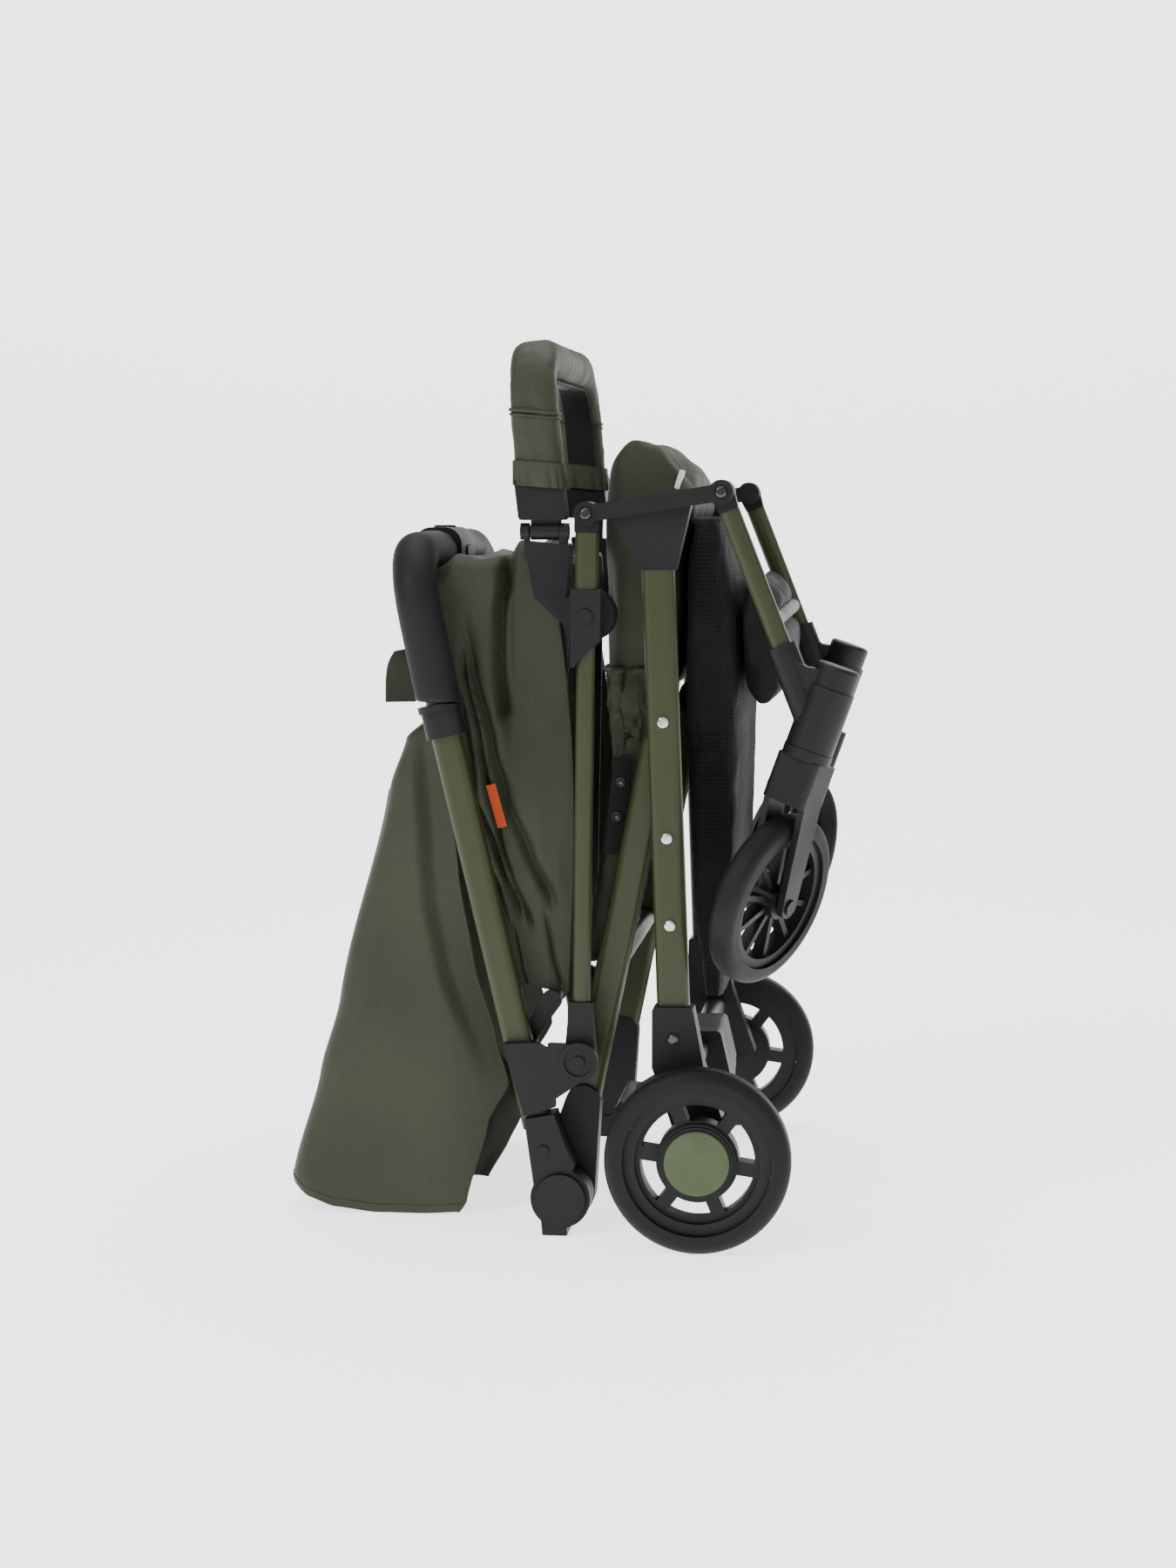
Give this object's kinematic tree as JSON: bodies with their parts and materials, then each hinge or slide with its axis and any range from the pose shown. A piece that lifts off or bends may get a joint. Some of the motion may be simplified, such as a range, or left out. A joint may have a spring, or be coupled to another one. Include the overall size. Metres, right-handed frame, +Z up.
{
  "type": "folding stroller",
  "caption": "Compact folding stroller, stored folded on its rear wheels and feet: tube frame, handle loop, bumper bar, canopy, seat, basket, turned-in casters and a fold that opens.",
  "frame": {"origin": "on the floor, at the middle of the folded footprint", "axes": "+X towards the stroller's front, +Y to its left, +Z up"},
  "size_m": [0.449, 0.482, 0.6857],
  "materials": {
    "steel": "turned",
    "tyre": "matt",
    "black_plastic": "fine moulded texture",
    "green_plastic": "satin",
    "green_paint": "satin powder coat",
    "black_paint": "satin",
    "zinc": "bright",
    "black_bolt": "gloss black",
    "green_fabric": "woven polyester",
    "black_mesh": "open mesh",
    "black_fabric": "woven polyester",
    "foam": "closed-cell foam"
  },
  "bodies": {
    "axle": {"rear_axle": "steel"},
    "rear_wheel_right": {"rear_tyre_right": "tyre", "rear_rim_right": "black_plastic", "hub_cap_right": "green_plastic"},
    "rear_wheel_left": {"rear_tyre_left": "tyre", "rear_rim_left": "black_plastic", "hub_cap_left": "green_plastic"},
    "rear_frame": {"rear_leg_right": "green_paint", "rear_leg_left": "green_paint", "hub_right": "black_plastic", "hub_left": "black_plastic", "wheel_brackets": "black_plastic", "rear_crossbar": "black_paint", "brake_housing": "black_plastic", "frame_rivets": "zinc", "frame_bolts": "black_bolt", "seat_pad": "green_fabric", "basket": "black_mesh"},
    "brake": {"brake_pedal": "black_plastic"},
    "side_rails": {"side_rail_right": "green_paint", "side_rail_left": "green_paint", "rail_fittings": "black_plastic"},
    "bumper_sockets": {"bumper_socket_right": "black_plastic", "bumper_socket_left": "black_plastic"},
    "bumper_bar": {"bumper_frame": "black_plastic", "bumper_cover": "green_fabric"},
    "release_button": {"bumper_release": "black_plastic"},
    "lower_back": {"lower_tube_right": "green_paint", "lower_tube_left": "green_paint", "lower_ends": "black_plastic", "lower_crossbar": "black_paint", "back_pad_lower": "green_fabric"},
    "upper_back": {"upper_tube_right": "green_paint", "upper_tube_left": "green_paint", "elbow_right": "black_plastic", "elbow_left": "black_plastic", "fold_joint_right": "black_plastic", "fold_joint_left": "black_plastic", "handle_bow": "black_paint", "handle_grips": "foam", "handle_fittings": "black_plastic", "hood_fabric": "green_fabric", "rear_flap": "green_fabric", "back_pad_upper": "green_fabric"},
    "fold_push_button": {"fold_button": "black_plastic"},
    "fold_lock": {"lock_slider": "black_plastic"},
    "hood_mid": {"hood_mid_bow": "black_plastic"},
    "hood_front": {"hood_front_bow": "black_plastic"},
    "front_legs": {"front_leg_right": "green_paint", "front_leg_left": "green_paint", "caster_housing_right": "black_plastic", "caster_housing_left": "black_plastic", "front_leg_fittings": "black_plastic", "calf_rest": "black_fabric"},
    "caster_right": {"caster_fork_right": "black_plastic"},
    "caster_left": {"caster_fork_left": "black_plastic"},
    "front_wheel_right": {"front_tyre_right": "tyre", "front_rim_right": "black_plastic"},
    "front_wheel_left": {"front_tyre_left": "tyre", "front_rim_left": "black_plastic"}
  },
  "joints": [
    {"name": "unfold", "type": "hinge", "parent": "axle", "child": "rear_frame", "pos_m": [0.1085, 0, 0.07], "axis": [0, 1, 0], "range_deg": [0, 54.2], "deforming": ["basket", "hood_fabric", "rear_flap", "back_pad_lower", "back_pad_upper"]},
    {"name": "rear_wheel_right_spin", "type": "hinge", "parent": "axle", "child": "rear_wheel_right", "pos_m": [0.1085, -0.227, 0.07], "axis": [0, 1, 0], "continuous": true},
    {"name": "rear_wheel_left_spin", "type": "hinge", "parent": "axle", "child": "rear_wheel_left", "pos_m": [0.1085, 0.227, 0.07], "axis": [0, 1, 0], "continuous": true},
    {"name": "brake_pedal_turn", "type": "hinge", "parent": "rear_frame", "child": "brake", "pos_m": [0.0745, 0, 0.088], "axis": [0, 1, 0], "range_deg": [-14, 0]},
    {"name": "lower_back_turn", "type": "hinge", "parent": "rear_frame", "child": "lower_back", "pos_m": [0.0753, 0, 0.3949], "axis": [0, 1, 0], "range_deg": [0, 80.6]},
    {"name": "upper_back_turn", "type": "hinge", "parent": "lower_back", "child": "upper_back", "pos_m": [0.0003, 0, 0.029], "axis": [0, 1, 0], "range_deg": [-144.4, 0]},
    {"name": "side_rail_turn", "type": "hinge", "parent": "rear_frame", "child": "side_rails", "pos_m": [0.0198, 0, 0.5509], "axis": [0, 1, 0], "range_deg": [0, 77.9]},
    {"name": "front_leg_turn", "type": "hinge", "parent": "rear_frame", "child": "front_legs", "pos_m": [0.1211, 0, 0.5671], "axis": [0, 1, 0], "range_deg": [-74.2, 0]},
    {"name": "bumper_turn", "type": "hinge", "parent": "side_rails", "child": "bumper_sockets", "pos_m": [0.0188, 0, 0.474], "axis": [0, 1, 0], "range_deg": [-45.3, 0]},
    {"name": "bumper_gate", "type": "hinge", "parent": "bumper_sockets", "child": "bumper_bar", "pos_m": [-0.015, -0.1565, 0.5375], "axis": [1, 0, 0], "range_deg": [0, 90]},
    {"name": "bumper_release_press", "type": "slide", "parent": "bumper_sockets", "child": "release_button", "axis": [0, -1, 0], "range_m": [0, 0.0025], "stiffness_N_per_m": 300},
    {"name": "hood_mid_turn", "type": "hinge", "parent": "upper_back", "child": "hood_mid", "pos_m": [-0.0095, 0, 0.178], "axis": [0, 1, 0], "range_deg": [0, 32.3]},
    {"name": "hood_front_turn", "type": "hinge", "parent": "hood_mid", "child": "hood_front", "pos_m": [-0.0095, 0, 0.178], "axis": [0, 1, 0], "range_deg": [0, 32.3]},
    {"name": "fold_button_press", "type": "slide", "parent": "upper_back", "child": "fold_push_button", "axis": [0, 0, -1], "range_m": [0, 0.003], "stiffness_N_per_m": 300},
    {"name": "fold_lock_slide", "type": "slide", "parent": "upper_back", "child": "fold_lock", "axis": [0, 1, 0], "range_m": [0, 0.006], "stiffness_N_per_m": 100},
    {"name": "caster_right_swivel", "type": "hinge", "parent": "front_legs", "child": "caster_right", "pos_m": [0.1874, -0.175, 0.375], "axis": [0.3371, 0, 0.9415], "range_deg": [-180, 75]},
    {"name": "caster_left_swivel", "type": "hinge", "parent": "front_legs", "child": "caster_left", "pos_m": [0.1874, 0.175, 0.375], "axis": [0.3371, 0, 0.9415], "range_deg": [-75, 180]},
    {"name": "front_wheel_right_spin", "type": "hinge", "parent": "caster_right", "child": "front_wheel_right", "pos_m": [0.15756, -0.15381, 0.25822], "axis": [-0.8313, 0.4695, 0.2976], "continuous": true},
    {"name": "front_wheel_left_spin", "type": "hinge", "parent": "caster_left", "child": "front_wheel_left", "pos_m": [0.15756, 0.15381, 0.25822], "axis": [0.8313, 0.4695, -0.2976], "continuous": true}
  ],
  "couplings": [
    {"joint": "lower_back_turn", "follows": "unfold", "ratio": 1.4815},
    {"joint": "upper_back_turn", "follows": "unfold", "ratio": -2.6587},
    {"joint": "side_rail_turn", "follows": "unfold", "ratio": 1.4317},
    {"joint": "front_leg_turn", "follows": "unfold", "ratio": -1.3635},
    {"joint": "bumper_turn", "follows": "unfold", "ratio": -0.83026},
    {"joint": "hood_mid_turn", "follows": "unfold", "ratio": 0.59041},
    {"joint": "hood_front_turn", "follows": "unfold", "ratio": 0.59041}
  ]
}
